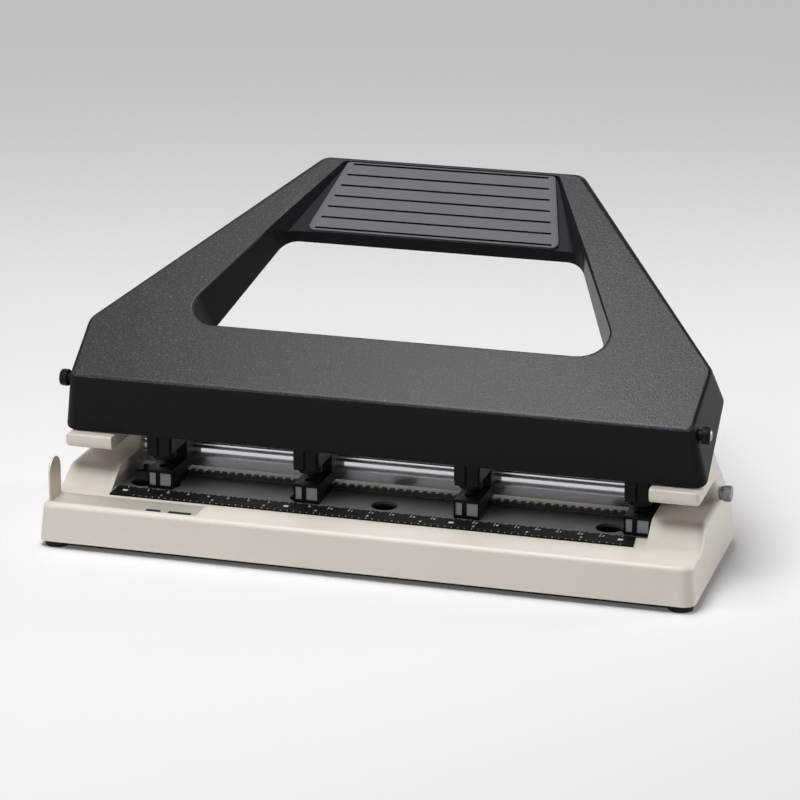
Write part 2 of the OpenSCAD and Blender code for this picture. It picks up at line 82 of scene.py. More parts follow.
back = Vector((math.sin(TURN) * math.cos(RISE), -math.cos(TURN) * math.cos(RISE), math.sin(RISE)))
level = Vector((math.cos(TURN), math.sin(TURN), 0))
upright = back.cross(level)
across = level * math.cos(ROLL) + upright * math.sin(ROLL)
upward = upright * math.cos(ROLL) - level * math.sin(ROLL)
eye = AIM - across * ASIDE - upward * DOWN + back * AWAY

lens = bpy.data.cameras.new("camera")
lens.sensor_width = SENSOR
lens.lens = FOCAL_PIXELS / PICTURE_PIXELS * SENSOR
lens.clip_end = SIGHT
camera = placed(bpy.data.objects.new("camera", lens))
facing = Matrix((across, upward, back)).transposed().to_4x4()
camera.matrix_world = Matrix.Translation(eye * MM) @ facing
bpy.context.scene.camera = camera
bpy.context.scene.view_settings.view_transform = "Standard"
print("camera at", [round(v) for v in eye], "mm, lens", round(lens.lens, 1), "mm")

# %% [markdown]
# ## Writing a finish as sums
# A finish is a sheet of nodes. Wiring them one by one hides the idea, so a
# small class wraps a socket and lets Python sums add the Math nodes. Any other
# node comes from one method, which takes its settings first and its inputs
# after. The sky is a sheet of nodes too, so it is written the same way.

# %% Shader sums
class Wire:
    """One value that flows between nodes."""

    def __init__(self, sheet, socket):
        self.sheet, self.socket = sheet, socket

    def sum_of(self, operation, first, second):
        return self.sheet.node("Math", {"operation": operation}, {0: first, 1: second})

    def __add__(self, other): return self.sum_of("ADD", self, other)
    def __radd__(self, other): return self.sum_of("ADD", other, self)
    def __sub__(self, other): return self.sum_of("SUBTRACT", self, other)
    def __rsub__(self, other): return self.sum_of("SUBTRACT", other, self)
    def __mul__(self, other): return self.sum_of("MULTIPLY", self, other)
    def __rmul__(self, other): return self.sum_of("MULTIPLY", other, self)

    def most(self, other):
        """The greater of two values."""
        return self.sum_of("MAXIMUM", self, other)

    def over(self, low, high):
        """0 below low, 1 above high, and even in between."""
        return self.sheet.node("MapRange", {"clamp": True}, {
            "Value": self, "From Min": low, "From Max": high})


# %% Sheets of nodes
class Sheet:
    """The node sheet of one finish, or of the sky."""

    def __init__(self, name, shelf="materials", shader="Principled BSDF"):
        self.owner = getattr(bpy.data, shelf).new(name)
        self.owner.use_nodes = True
        self.tree = self.owner.node_tree
        self.shader = self.tree.nodes[shader]
        self.place = self.node("TexCoord", {}, {}, "Object")

    def node(self, kind, settings, inputs, output=0):
        made = self.tree.nodes.new("ShaderNode" + kind)
        for key, value in settings.items():
            setattr(made, key, value)
        for key, value in inputs.items():
            self.feed(made.inputs[key], value)
        return Wire(self, made.outputs[output])

    def feed(self, socket, value):
        """Links a wire, or sets a plain value. A colour may leave out alpha."""
        if isinstance(value, Wire):
            self.tree.links.new(value.socket, socket)
            return
        if hasattr(socket.default_value, "__len__") and len(socket.default_value) == 4:
            value = (*value, 1)[:4]
        socket.default_value = value

    def finish(self, **inputs):
        for key, value in inputs.items():
            self.feed(self.shader.inputs[key.replace("_", " ")], value)
        return self.owner

    def noise(self, size, detail=2, roughness=0.5, place=None):
        """Soft noise whose features are about size millimetres wide."""
        return self.node("TexNoise", {}, {
            "Vector": place or self.place, "Scale": 1 / (size * MM),
            "Detail": detail, "Roughness": roughness})

    def cells(self, size):
        """The distance to the middle of the nearest of many small cells."""
        return self.node("TexVoronoi", {}, {
            "Vector": self.place, "Scale": 1 / (size * MM)}, "Distance")

    def stretched(self, x, y, z):
        """The place on the object, drawn out along the axes for brushed lines."""
        return self.node("Mapping", {}, {"Vector": self.place, "Scale": (x, y, z)})

    def blend(self, share, low, high):
        """A mix of two colours, by the Mix node's sockets for a share and colours."""
        made = self.tree.nodes.new("ShaderNodeMix")
        made.data_type = "RGBA"
        for socket, value in ((0, share), (6, low), (7, high)):
            self.feed(made.inputs[socket], value)
        return Wire(self, made.outputs[2])

    def bump(self, height, depth):
        """A normal from a height of 0 to 1 that stands for depth millimetres."""
        return self.node("Bump", {}, {
            "Height": height, "Distance": depth * MM, "Strength": 1.0}, "Normal")


# %% Colours
def colour(red, green, blue):
    """A picture colour, 0 to 255, as the shader wants it."""
    def straight(value):
        value /= 255
        return value / 12.92 if value <= 0.04045 else ((value + 0.055) / 1.055) ** 2.4
    return tuple(straight(v) for v in (red, green, blue))

# %% [markdown]
# ## The floor
# The punch stands on a pale sheet that grows cooler further back. What looks
# at the floor sees it pale. The light that bounces off it on to the punch is
# weaker, so the shade under the lever stays deep. A little glow, which only a
# viewer sees, brings the far floor up to the background without more lamps.

# %% Floor
FLOOR_NEAR, FLOOR_FAR = colour(223, 221, 221), colour(232, 229, 233)
BOUNCE, GLOW = (0.78, 0.77, 0.79), (1.0, 0.98, 1.02)
DEPTH_GLOW, FAR_GLOW, FLOOR_REACH = 0.17, 0.22, 4.0


def looked_at(sheet):
    """1 for a ray that a viewer follows, straight or by way of gloss or glass,
    and 0 for light on its way round the room."""
    straight, gloss, glass = (sheet.node("LightPath", {}, {}, f"Is {kind} Ray")
                              for kind in ("Camera", "Glossy", "Transmission"))
    return straight.most(gloss).most(glass)


s = Sheet("room_floor")
looks = looked_at(s)
depth = s.node("SeparateXYZ", {}, {0: s.place}, 1)
far = s.node("VectorMath", {"operation": "LENGTH"}, {0: s.place}, 1)
tone = s.blend(depth.over(-0.5, 1.45), FLOOR_NEAR, FLOOR_FAR)
glow = (depth.over(-0.45, 0.35) * DEPTH_GLOW + far.over(0.3, 1.5) * FAR_GLOW) * looks
FLOOR = s.finish(Base_Color=s.blend(looks, BOUNCE, tone), Roughness=0.9, Specular_IOR_Level=0.0,
                 Emission_Color=s.blend(glow, (0, 0, 0), GLOW), Emission_Strength=1.0)

mesh = bpy.data.meshes.new("room_floor")
corners = [(x * FLOOR_REACH, y * FLOOR_REACH, 0) for x, y in ((-1, -1), (1, -1), (1, 1), (-1, 1))]
mesh.from_pydata(corners, [], [(0, 1, 2, 3)])
mesh.materials.append(FLOOR)
placed(bpy.data.objects.new("room_floor", mesh))
print("the floor reaches", FLOOR_REACH, "m each way")

# %% [markdown]
# ## The lamps
# Four soft rectangles of light stand in for a studio. Big lamps give broad,
# quiet reflections on the black lever, where small ones would give hard spots.
# Two hang high, and two weak ones stand low and pick out the cream sides.

# %% Lamps
def lamp(name, place, aim, size, power):
    """A rectangle of light at a place, turned to an aim, all in metres."""
    data = bpy.data.lights.new(name, "AREA")
    data.shape, data.energy = "RECTANGLE", power
    data.size, data.size_y = size
    made = bpy.data.objects.new(name, data)
    made.location = place
    made.rotation_euler = (Vector(place) - Vector(aim)).to_track_quat("Z", "Y").to_euler()
    return placed(made)


lamp("lamp_above", (-0.12, -0.02, 1.0), (0.0, 0.0, 0), (0.45, 0.35), 5.0)
lamp("lamp_window", (-0.15, -0.5, 1.05), (-0.05, -0.06, 0), (0.5, 0.4), 7.6)
lamp("lamp_front", (-0.62, -0.75, 0.3), (-0.14, -0.08, 0.02), (0.4, 0.4), 1.1)
lamp("lamp_right", (0.85, 0.45, 0.27), (0.15, 0.05, 0.03), (0.4, 0.25), 3.4)
print("lamps:", [light.name for light in bpy.data.lights])

# %% [markdown]
# ## The sky
# The room round the punch is bright at the walls and dim overhead. A picture
# of a room could be wrapped round it, but a few sums do: what is seen in the
# metal is near white, and what lights the punch is a twentieth of that.

# %% Sky
SKY_LIGHT, SKY_SEEN, SKY_DIM = 0.05, 1.0, 0.75
s = Sheet("room", "worlds", "Background")
way = s.node("TexCoord", {}, {}, "Generated")
dim = s.node("SeparateXYZ", {}, {0: way}, "Z").most(0.0) * SKY_DIM
strength = looked_at(s) * ((SKY_SEEN - SKY_LIGHT) - dim) + SKY_LIGHT
bpy.context.scene.world = s.finish(Color=(0.96, 0.97, 1.0), Strength=strength)
print("the sky lights with", SKY_LIGHT, "and shows as", SKY_SEEN)

# %% [markdown]
# ## Cream enamel
# The base is a metal casting sprayed with enamel. Real enamel is never one
# flat colour: it clouds a little, has a fleck here and there, and its skin
# is slightly uneven like orange peel. All three are noise at its true size.

# %% Enamel
s = Sheet("cream_paint")
haze = s.noise(60, 3)
fleck = s.noise(0.7, 3)
tone = s.blend(haze, colour(214, 206, 195), colour(224, 217, 206))
tone = s.blend(fleck.over(0.62, 0.8) * 0.25, tone, colour(190, 182, 170))
peel = s.noise(1.3, 2) * 0.7 + s.noise(0.35, 1) * 0.3
CREAM = s.finish(Base_Color=tone, Roughness=0.34 + haze * 0.12, Specular_IOR_Level=0.45,
                 Normal=s.bump(peel, 0.035))
print("finish:", CREAM.name)

# %% [markdown]
# ## Black mouldings
# Moulded plastic takes its grain from a mould that was eaten by sparks. Fine
# cells and noise make that grain, and paler specks in its colour are painted
# glints for the few spots that catch the light. One recipe serves all the black pieces, with other
# tones and depths for each.

# %% Black plastics
def black_moulding(name, base, painted_glint, grain, rough, specular):
    """Black plastic with a grain so many millimetres deep."""
    s = Sheet(name)
    fine = s.noise(0.8, 4, 0.7)
    height = fine * 0.7 + s.cells(0.9) * 0.5
    # The paler colour on the grain's specks is a painted glint.
    tone = s.blend(fine.over(0.54, 0.7), base, painted_glint)
    return s.finish(Base_Color=tone, Roughness=rough + fine * 0.2,
                    Specular_IOR_Level=specular, Normal=s.bump(height, grain))


# The top's black has far paler painted glints than the skirts' black, so the top is painted lighter
# than the skirts, on top of its coarser grain.
COVER_TOP = black_moulding("black_cover_grained", colour(28, 30, 31), colour(82, 85, 86),
                           0.09, 0.27, 0.31)
COVER_SIDE = black_moulding("black_cover_side", colour(19, 20, 25), colour(27, 28, 33),
                            0.03, 0.4, 0.1)
DARK = black_moulding("dark_trim", colour(6, 7, 9), colour(12, 13, 16), 0.03, 0.36, 0.14)
DRAWER = black_moulding("drawer_black", colour(30, 30, 33), colour(44, 45, 48), 0.05, 0.5, 0.4)
INK = black_moulding("scale_black", colour(7, 8, 10), colour(13, 14, 17), 0.01, 0.5, 0.12)
print("finishes:", [finish.name for finish in (COVER_TOP, COVER_SIDE, DARK, DRAWER, INK)])

# %% [markdown]
# ## Rubber and print
# The grip is a soft violet-grey rubber with dull clouds from many hands. The
# feet are black and duller still. The white print on the scale is worn thin
# in places, which is the same noise between two whites.

# %% Rubber and white ink
s = Sheet("grip_rubber")
cloud = s.noise(14, 3)
fine = s.noise(0.4, 3, 0.6)
tone = s.blend(cloud * 0.5 + fine * 0.5, colour(71, 71, 78), colour(90, 90, 98))
GRIP = s.finish(Base_Color=tone, Roughness=0.5 + fine * 0.2, Specular_IOR_Level=0.4,
                Normal=s.bump(fine, 0.03))
s = Sheet("foot_rubber")
fine = s.noise(0.6, 3)
RUBBER = s.finish(Base_Color=s.blend(fine, colour(20, 20, 20), colour(38, 37, 36)),
                  Roughness=0.75 + fine * 0.15, Specular_IOR_Level=0.3, Normal=s.bump(fine, 0.05))
s = Sheet("scale_white")
wear = s.noise(0.5, 3)
WHITE = s.finish(Base_Color=s.blend(wear, colour(196, 196, 194), colour(236, 236, 232)),
                 Roughness=0.5 + wear * 0.2)
print("finishes:", [finish.name for finish in (GRIP, RUBBER, WHITE)])

# %% [markdown]
# ## Steels
# Rolled steel has fine lines along the way it was rolled, and turned steel
# has them round the axis. Noise that is drawn out along one axis gives both.
# The polished bar and rod have the finest lines, so they mirror the room. The
# rack and the dies are blackened, and the guide is plated with warm nickel.

# %% Metals
def steel(name, low, high, stretch, rough, depth, metal=1.0):
    """Metal with lines drawn out along one axis, and a few duller patches."""
    s = Sheet(name)
    lines = s.noise(1.0, 4, 0.6, s.stretched(*stretch))
    cloud = s.noise(18, 2)
    tone = s.blend(lines * 0.7 + cloud * 0.3, low, high)
    return s.finish(Base_Color=tone, Metallic=metal, Roughness=rough + lines * 0.15 + cloud * 0.08,
                    Normal=s.bump(lines, depth))


ALONG, EVEN, ROUND = (0.05, 3, 3), (3, 3, 3), (3, 3, 0.3)
PLATE = steel("plate_steel", colour(140, 142, 143), colour(186, 187, 188), ALONG, 0.34, 0.01)
BED = steel("bed_steel", colour(96, 98, 98), colour(132, 133, 132), ALONG, 0.42, 0.01, 0.6)
RACK = steel("rack_steel", colour(40, 40, 37), colour(78, 78, 73), EVEN, 0.4, 0.006, 0.7)
BRIGHT = steel("bright_steel", colour(214, 214, 217), colour(240, 240, 243), (0.04, 4, 4),
               0.07, 0.0012)
DIE = steel("die_steel", colour(30, 31, 33), colour(52, 53, 55), ROUND, 0.34, 0.004)
KNOB = steel("knob_steel", colour(118, 119, 121), colour(160, 161, 163), ROUND, 0.28, 0.004)
SPRING = steel("spring_steel", colour(120, 121, 124), colour(170, 170, 173), (2, 2, 2), 0.3, 0.006)
NICKEL = steel("guide_nickel", colour(188, 181, 168), colour(222, 216, 206), (0.08, 3, 3),
               0.36, 0.008, 0.55)
WINDOW = steel("window_grey", colour(132, 136, 142), colour(158, 162, 168), ROUND,
               0.45, 0.008, 0.4)
print(len(bpy.data.materials), "finishes with the floor's")

# %% [markdown]
# ## Two ways to measure
# The base is measured from its middle and its front edge, as on a drawing.
# The lever lies on a slope, so its sizes are taken along the slope and square
# to it, and one function turns them into places. That keeps its outlines as
# simple as those of a flat plate.

# %% Places
HINGE_Y, HINGE_Z, SLOPE = 34.2, 74.0, math.radians(30.5)
HINGE_U, HINGE_DROP = 4.4, 7.0


def base_place(x, y, z):
    """A place measured from the middle and the front edge of the base."""
    return Vector((x, y + FRONT, z)) * MM


def lever_place(x, u, v):
    """A place on the open lever: u runs up its slope, v stands out of its top."""
    u, v = u - HINGE_U, v + HINGE_DROP
    return base_place(x, HINGE_Y + u * math.cos(SLOPE) - v * math.sin(SLOPE),
                      HINGE_Z + u * math.sin(SLOPE) + v * math.cos(SLOPE))


print("the hinge is at", [round(v / MM, 1) for v in base_place(0, HINGE_Y, HINGE_Z)], "mm")

# %% [markdown]
# ## Outlines and skins
# Most shapes here are lofts: two or more rounded outlines with a skin between
# them. A box with modifiers would do for plain plates, but a loft also takes a
# trapezoid whose sides lean by different amounts.

# %% Outlines
def rounded(corners, radii, steps=6):
    """A closed outline with each corner turned into an arc."""
    corners = [Vector(c) for c in corners]
    out = []
    for i, corner in enumerate(corners):
        before = corners[i - 1] - corner
        after = corners[(i + 1) % len(corners)] - corner
        angle = before.angle(after)
        before, after, radius = before.normalized(), after.normalized(), radii[i]
        tangent = radius / math.tan(angle / 2)
        start, end = corner + before * tangent, corner + after * tangent
        middle = corner + (before + after).normalized() * radius / math.sin(angle / 2)
        first, last = start - middle, end - middle
        sweep = first.angle(last)
        for k in range(steps + 1):
            t = k / steps
            arm = (first * math.sin((1 - t) * sweep) + last * math.sin(t * sweep)) / math.sin(sweep)
            out.append(middle + arm)
    return out


def mirrored(half):
    """Half an outline on the right, front to rear, as a whole one."""
    return list(half) + [(-p[0], *p[1:]) for p in reversed(half)]


def loft(rings, place, fold=None):
    """A closed solid through outlines of the same count. fold names two
    corners between which each end is creased."""
    bm = bmesh.new()
    rows = [[bm.verts.new(place(*p)) for p in ring] for ring in rings]
    count = len(rows[0])
    for low, high in zip(rows, rows[1:]):
        for i in range(count):
            j = (i + 1) % count
            bm.faces.new((low[i], low[j], high[j], high[i]))
    for row in (rows[0], rows[-1]):
        if fold:
            a, b = fold
            bm.faces.new(row[a:b + 1])
            bm.faces.new(row[b:] + row[:a + 1])
        else:
            bm.faces.new(row)
    bmesh.ops.recalc_face_normals(bm, faces=bm.faces)
    return bm

# %% [markdown]
# ## Cutting and easing
# Hollows and windows are cut with the Boolean modifier, and the Bevel modifier
# breaks the edges, because no moulded or cast edge is really sharp. Each
# modifier is worked in at once, so that the next step sees plain faces.

# %% Meshes and modifiers
def as_object(bm, name, *materials):
    """A finished bmesh as an object of the scene."""
    mesh = bpy.data.meshes.new(name)
    bm.to_mesh(mesh)
    bm.free()
    for material in materials:
        mesh.materials.append(material)
    return placed(bpy.data.objects.new(name, mesh))


def settled(piece):
    """The piece with its modifiers worked in, as a plain mesh."""
    bpy.context.view_layer.update()
    shaped = piece.evaluated_get(bpy.context.evaluated_depsgraph_get())
    mesh = bpy.data.meshes.new_from_object(shaped)
    piece.modifiers.clear()
    old, piece.data = piece.data, mesh
    mesh.name = piece.name
    if old.users == 0:
        bpy.data.meshes.remove(old)
    return piece


def cut(piece, tools, operation="DIFFERENCE"):
    """Takes the tools out of the piece, or joins them to it, and throws the
    tools away."""
    for tool in tools:
        step = piece.modifiers.new("cut", "BOOLEAN")
        step.object, step.operation, step.solver = tool, operation, "EXACT"
        settled(piece)
        bpy.data.objects.remove(tool)
    return piece


# %% Shading and edges
def smoothed(piece, angle=35):
    """Smooth shading, but for edges that turn by more than the angle."""
    for face in piece.data.polygons:
        face.use_smooth = True
    piece.data.set_sharp_from_angle(angle=math.radians(angle))
    return piece


def evened(piece):
    """Lets the large faces set the shading, so that they look flat."""
    piece.modifiers.new("shade", "WEIGHTED_NORMAL").keep_sharp = True
    return settled(piece)


def eased(piece, width, steps=2, angle=40):
    """Breaks the edges that turn by more than the angle with a small round."""
    step = piece.modifiers.new("round", "BEVEL")
    step.width, step.segments, step.limit_method = width * MM, steps, "ANGLE"
    step.angle_limit = math.radians(angle)
    step.miter_outer = "MITER_ARC"
    step.use_clamp_overlap = True
    return evened(smoothed(settled(piece), 40))


# %% [markdown]
# ## Taking over the model's pieces
# A node of the model is a mesh of loose triangles. A copy of it is merged and
# its flat faces are made whole, so that a Bevel finds only true edges. The
# finished piece then rides on the node's body and stands in for the node.

# %% Pieces of the model
DOUBLES, FLAT_DEGREES = 2e-6, 0.6


def copy_of(node, name, *materials):
    """A clean copy of a node's mesh: doubles merged, flat faces made whole."""
    bm = bmesh.new()
    bm.from_mesh(NODES[node].data)
    bmesh.ops.remove_doubles(bm, verts=bm.verts, dist=DOUBLES)
    bmesh.ops.dissolve_limit(bm, angle_limit=math.radians(FLAT_DEGREES),
                             verts=bm.verts, edges=bm.edges)
    bmesh.ops.recalc_face_normals(bm, faces=bm.faces)
    return as_object(bm, name, *materials)


def stands_for(piece, body, slot, *nodes):
    """Lets a piece ride on its body, in place of the nodes it was made for."""
    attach(piece, body)
    if nodes:
        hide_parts(*nodes)
    print(piece.name, "has", len(piece.data.polygons), "faces")
    return piece

# %% [markdown]
# ## The lever's cover
# The cover is one black moulding: a trapezoid top, skirts that flare out a
# little, a big window with round corners, and a pocket for the grip. It could
# be drawn face by face, but a mould maker thinks in solids: a loft is hollowed
# from below, and then the window and the pocket are cut out of it.

# %% The cover's outlines
LEVER_L, COVER_T = 159.4, 2.0
OUTER_TOP = ((149.5, 0), (151.5, 38), (65.5, LEVER_L))
OUTER_LOW = ((155.0, -9.5, -28), (153.8, 45.1, -27), (67.1, 161.0, -11))
INWARD = (1, 0, -1)      # the way along the slope that leads inwards at each corner
TOP_RADII, LOW_RADII = (4, 9, 7), (5, 9, 8)
CORNER_STEPS, RIM, RIM_STEPS = 6, 2.2, 5


def wide(radii, inset):
    """The radii of a half outline as those of the whole, moved in by inset."""
    half = tuple(max(1.0, radius - inset) for radius in radii)
    return half + half[::-1]


def cover_solid(inset, top, below, rim=0):
    """The cover's outer solid, or moved in by inset the hollow of it. rim is
    the round of its upper edge."""
    high = [(x - inset, u + way * inset, top) for (x, u), way in zip(OUTER_TOP, INWARD)]
    low = [(x - inset, u + way * inset, v - below) for (x, u, v), way in zip(OUTER_LOW, INWARD)]
    rings = []
    for k in range(RIM_STEPS + 1) if rim else (0,):
        turn = math.radians(90 * k / RIM_STEPS)
        pull, drop = rim * (1 - math.sin(turn)), rim * (1 - math.cos(turn))
        half = []
        for (x, u, v), (x2, u2, v2), way in zip(high, low, INWARD):
            t = drop / (v - v2)
            half.append((x + (x2 - x) * t - pull, u + (u2 - u) * t + way * pull, v - drop))
        rings.append(rounded(mirrored(half), wide(TOP_RADII, inset + pull), CORNER_STEPS))
    rings.append(rounded(mirrored(low), wide(LOW_RADII, inset), CORNER_STEPS))
    per = CORNER_STEPS + 1
    fold = (per + CORNER_STEPS // 2, 4 * per + CORNER_STEPS // 2)
    return loft(rings, lever_place, fold)


# %% [markdown]
# ## The window and the pocket
# Both are holes in the moulding, and both are made as solids for cutting. The
# same solid, a little wider, also cuts the hollow, and so leaves a wall of
# even thickness round each of them.

# %% The window's shape
WIN_U0, WIN_U1, WIN_LEAN, WIN_SHIFT = 40.0, 112.0, 0.11, -1.5
WIN_W0, WIN_W1, WIN_EASE, WIN_STEPS = 109.3, 75.4, 1.3, 8


def window_half(u):
    """Half the window's width at a place up the slope."""
    return WIN_W0 + (WIN_W1 - WIN_W0) * (u - WIN_U0) / (WIN_U1 - WIN_U0)


def window_shift(u):
    """The opening sits a touch left of the middle, as in the picture."""
    return WIN_SHIFT * (1 - 0.5 * (u - WIN_U0) / (WIN_U1 - WIN_U0))


def window_solid(rim, up, down, radii, ease=0):
    """The opening's shape for cutting. ease rounds its upper edge, so that it
    shows as a soft line of light."""
    turns = [math.radians(90 * k / RIM_STEPS) for k in range(RIM_STEPS + 1)] if ease else []
    levels = [(-ease * (1 - math.cos(a)), ease * (1 - math.sin(a))) for a in turns]
    rings = []
    for v, pull in [(up, ease)] + levels + [(-down, 0)]:
        wider = rim + pull
        half = [(window_half(u) + wider + WIN_LEAN * v, u + way * wider, v)
                for u, way in ((WIN_U0, -1), (WIN_U1, 1))]
        ring = [(x + window_shift(u), u, v) for x, u, v in mirrored(half)]
        rings.append(rounded(ring, (radii[0], radii[1], radii[1], radii[0]), WIN_STEPS))
    return loft(rings, lever_place)


# %% The pocket's shape
POCKET_END, POCKET_FRONT, POCKET_REAR = 156.8, 6.4, 1.6
POCKET_HALF, POCKET_LOW_HALF, POCKET_AHEAD, POCKET_KNEE = 55.5, 53.1, 16, 6
POCKET_RADII, POCKET_OVER = (0.6, 2, 3, 3, 2, 0.6), 1.0


def pocket_solid(rim, front, rear):
    """The pocket's shape for cutting. It starts ahead of the window's rear
    corners, so that its walls run on from the window's sides."""
    start, knee = WIN_U1 - POCKET_AHEAD, WIN_U1 - POCKET_KNEE
    fall = (front - rear) / (POCKET_END - WIN_U1 + 1)
    low_half = window_half(start) - 5

    def floor_half(u):
        share = (POCKET_LOW_HALF - low_half) * (u - start) / (POCKET_END - start)
        return low_half + share + rim

    top = [(window_half(start) + rim + 0.6, start - rim, POCKET_OVER),
           (window_half(knee) + rim + 2.0, knee, POCKET_OVER),
           (POCKET_HALF + rim, POCKET_END + rim, POCKET_OVER)]
    low = [(floor_half(u), u + aside, -rear - fall * (POCKET_END - u))
           for u, aside in ((start, -rim), (knee, 0), (POCKET_END, rim))]
    rings = []
    for half in (top, low):
        moved = [(x + window_shift(start) * (u < WIN_U1), u, v) for x, u, v in mirrored(half)]
        rings.append(rounded(moved, POCKET_RADII, 4))
    return loft(rings, lever_place)


def wall_trim():
    """Takes the lower edge of the window's wall up towards the rear."""
    high = mirrored([(106, 60, -24.5), (92, 118, -12.4)])
    return loft([high, [(x, u, -40) for x, u, v in high]], lever_place)


# %% Cutting the cover
INNER_RADII, WINDOW_RADII, INNER_DOWN, WINDOW_DOWN = (12, 10), (14, 11), 31, 32
cover = as_object(cover_solid(0, 0, 0, RIM), "cover_moulding", COVER_TOP, COVER_SIDE, DARK)
hollow = as_object(cover_solid(COVER_T, -COVER_T, 1), "hollow")
inner_pocket = pocket_solid(COVER_T, POCKET_FRONT + COVER_T, POCKET_REAR + COVER_T)
cut(hollow, [as_object(window_solid(COVER_T, 1, INNER_DOWN, INNER_RADII), "inner_window"),
             as_object(inner_pocket, "inner_pocket")])
cut(cover, [hollow,
            as_object(window_solid(0, 1, WINDOW_DOWN, WINDOW_RADII, WIN_EASE), "window"),
            as_object(pocket_solid(0, POCKET_FRONT, POCKET_REAR), "pocket"),
            as_object(wall_trim(), "wall_trim")])
eased(cover, 1.1, 3, 34)
print("the cover is", COVER_T, "mm thick and has", len(cover.data.polygons), "faces")

# %% [markdown]
# ## Which face gets which black
# The top is grained, and its black has paler painted glints. The skirts are
# smoother and darker. Light and shade are painted on the faces too: the
# pocket's walls get the darker black as painted shade, the window's right and
# front walls get the paler black as painted light with a painted dark line on
# their edge, and the window's left edge and the front rim get the paler black
# as painted highlights. A painted map could say so, but a face already knows
# where it is and which way it looks, so sums on its place are enough.

# %% Blacks of the cover
GRAINED_AND_PAINTED_PALE, PLAIN_AND_PAINTED_SHADE, PAINTED_DARK_LINE = 0, 1, 2
TOP_FACING, RIM_HIGHLIGHT_FACING, EDGE_HIGHLIGHT_FACING, PAINTED_LINE_FACING, FLAT_FACING = 0.93, 0.8, 0.55, 0.3, 0.9995
lever_start = lever_place(0, 0, 0)
top_normal = (lever_place(0, 0, 1) - lever_start).normalized()
slope_way = (lever_place(0, 1, 0) - lever_start).normalized()
for face in cover.data.polygons:
    place, up = face.center - lever_start, face.normal.dot(top_normal)
    u, v = place.dot(slope_way) / MM, place.dot(top_normal) / MM
    aside = abs(face.center.x / MM - window_shift(u)) - window_half(u)
    in_pocket = WIN_U1 - POCKET_AHEAD < u < POCKET_END + 1 and aside < 1.6 and v < -0.3
    by_window = WIN_U0 - 2 < u < POCKET_END and aside < 2
    painted_pale_side = face.normal.x < -0.2 or u < WIN_U0 + 2
    highlit_front_rim = face.normal.y < -0.5 and u < 6
    # Pocket walls: painted shade. Front rim and the window's left edge: painted highlights. The
    # window's right and front walls: painted light, edged by a painted dark line.
    if in_pocket:
        face.material_index = PLAIN_AND_PAINTED_SHADE
    elif up > (RIM_HIGHLIGHT_FACING if highlit_front_rim else TOP_FACING):
        face.material_index = GRAINED_AND_PAINTED_PALE
    elif by_window and u < WIN_U1 - 2 and painted_pale_side:
        face.material_index = PAINTED_DARK_LINE if up > PAINTED_LINE_FACING else GRAINED_AND_PAINTED_PALE
    else:
        face.material_index = GRAINED_AND_PAINTED_PALE if by_window and up > EDGE_HIGHLIGHT_FACING else PLAIN_AND_PAINTED_SHADE
# The top is shaded flat right up to its rounds
shading = [corner.vector.copy() for corner in cover.data.corner_normals]
for face in cover.data.polygons:
    if face.normal.dot(top_normal) > FLAT_FACING:
        for loop in face.loop_indices:
            shading[loop] = top_normal
cover.data.normals_split_custom_set(shading)
stands_for(cover, "lever", "black_cover", "lever_cover")

# %% [markdown]
# ## The grip pad
# A ribbed pad of soft grey rubber lies in the pocket. Its outline narrows
# towards the rear, and seven grooves run across it. Each groove is shorter
# than the one before, so a loop cuts them one by one with the Boolean
# modifier. Their floors are painted dark as shade, since no light gets there.

# %% The pad's shape
PAD_U0, PAD_U1, PAD_T = 112.4, 156.8, 1.4
PAD_WIDE, PAD_NARROW, PAD_RADII = 126.6, 105.4, (3.2, 2.0, 2.0, 3.2)
PAD_FALL = (POCKET_FRONT - POCKET_REAR) / (PAD_U1 - WIN_U1 + 1)
PAD_TILT = math.atan(PAD_FALL)
PAD_V = -POCKET_FRONT + PAD_FALL * (PAD_U0 - WIN_U1 + 1) + 0.05
PAD_LEN = (PAD_U1 - PAD_U0) / math.cos(PAD_TILT) - 0.1
GROOVES, GROOVE_W, GROOVE_D, GROOVE_END, GROOVE_EDGE = 7, 1.2, 0.8, 3.6, 1.6


def pad_place(x, y, z):
    """A place on the pad: y runs up it, z stands out of the pocket's floor."""
    return lever_place(x, PAD_U0 + y * math.cos(PAD_TILT) - z * math.sin(PAD_TILT),
                       PAD_V + y * math.sin(PAD_TILT) + z * math.cos(PAD_TILT))


def pad_half(y):
    return (PAD_WIDE + (PAD_NARROW - PAD_WIDE) * y / PAD_LEN) / 2


def pad_ring(z, inset):
    half = [(pad_half(0) - inset, inset, z), (pad_half(PAD_LEN) - inset, PAD_LEN - inset, z)]
    return rounded(mirrored(half), PAD_RADII)


def groove(y):
    """The shape that cuts one groove."""
    half, rings = pad_half(y) - GROOVE_END, []
    for z, e in ((PAD_T + 0.4, 0), (PAD_T - GROOVE_D, 0.1)):
        ring = [(half - e, y - GROOVE_W / 2 + e, z), (half - e, y + GROOVE_W / 2 - e, z)]
        rings.append(rounded(mirrored(ring), (0.3,) * 4, 3))
    return loft(rings, pad_place)


print("the pad is", round(PAD_LEN, 1), "mm long and tilts", round(math.degrees(PAD_TILT), 1), "degrees")

# %% Pad
rings = [pad_ring(z, inset) for z, inset in
         ((0, 0), (PAD_T - 0.5, 0), (PAD_T - 0.15, 0.15), (PAD_T, 0.5))]
grip = as_object(loft(rings, pad_place), "grip_pad_ribbed", GRIP, DARK)
rows = [GROOVE_EDGE + g * (PAD_LEN - 2 * GROOVE_EDGE) / (GROOVES - 1) for g in range(GROOVES)]
cut(grip, [as_object(groove(y), "groove") for y in rows])
smoothed(grip, 30)
pad_start = pad_place(0, 0, 0)
pad_normal = (pad_place(0, 0, 1) - pad_start).normalized()
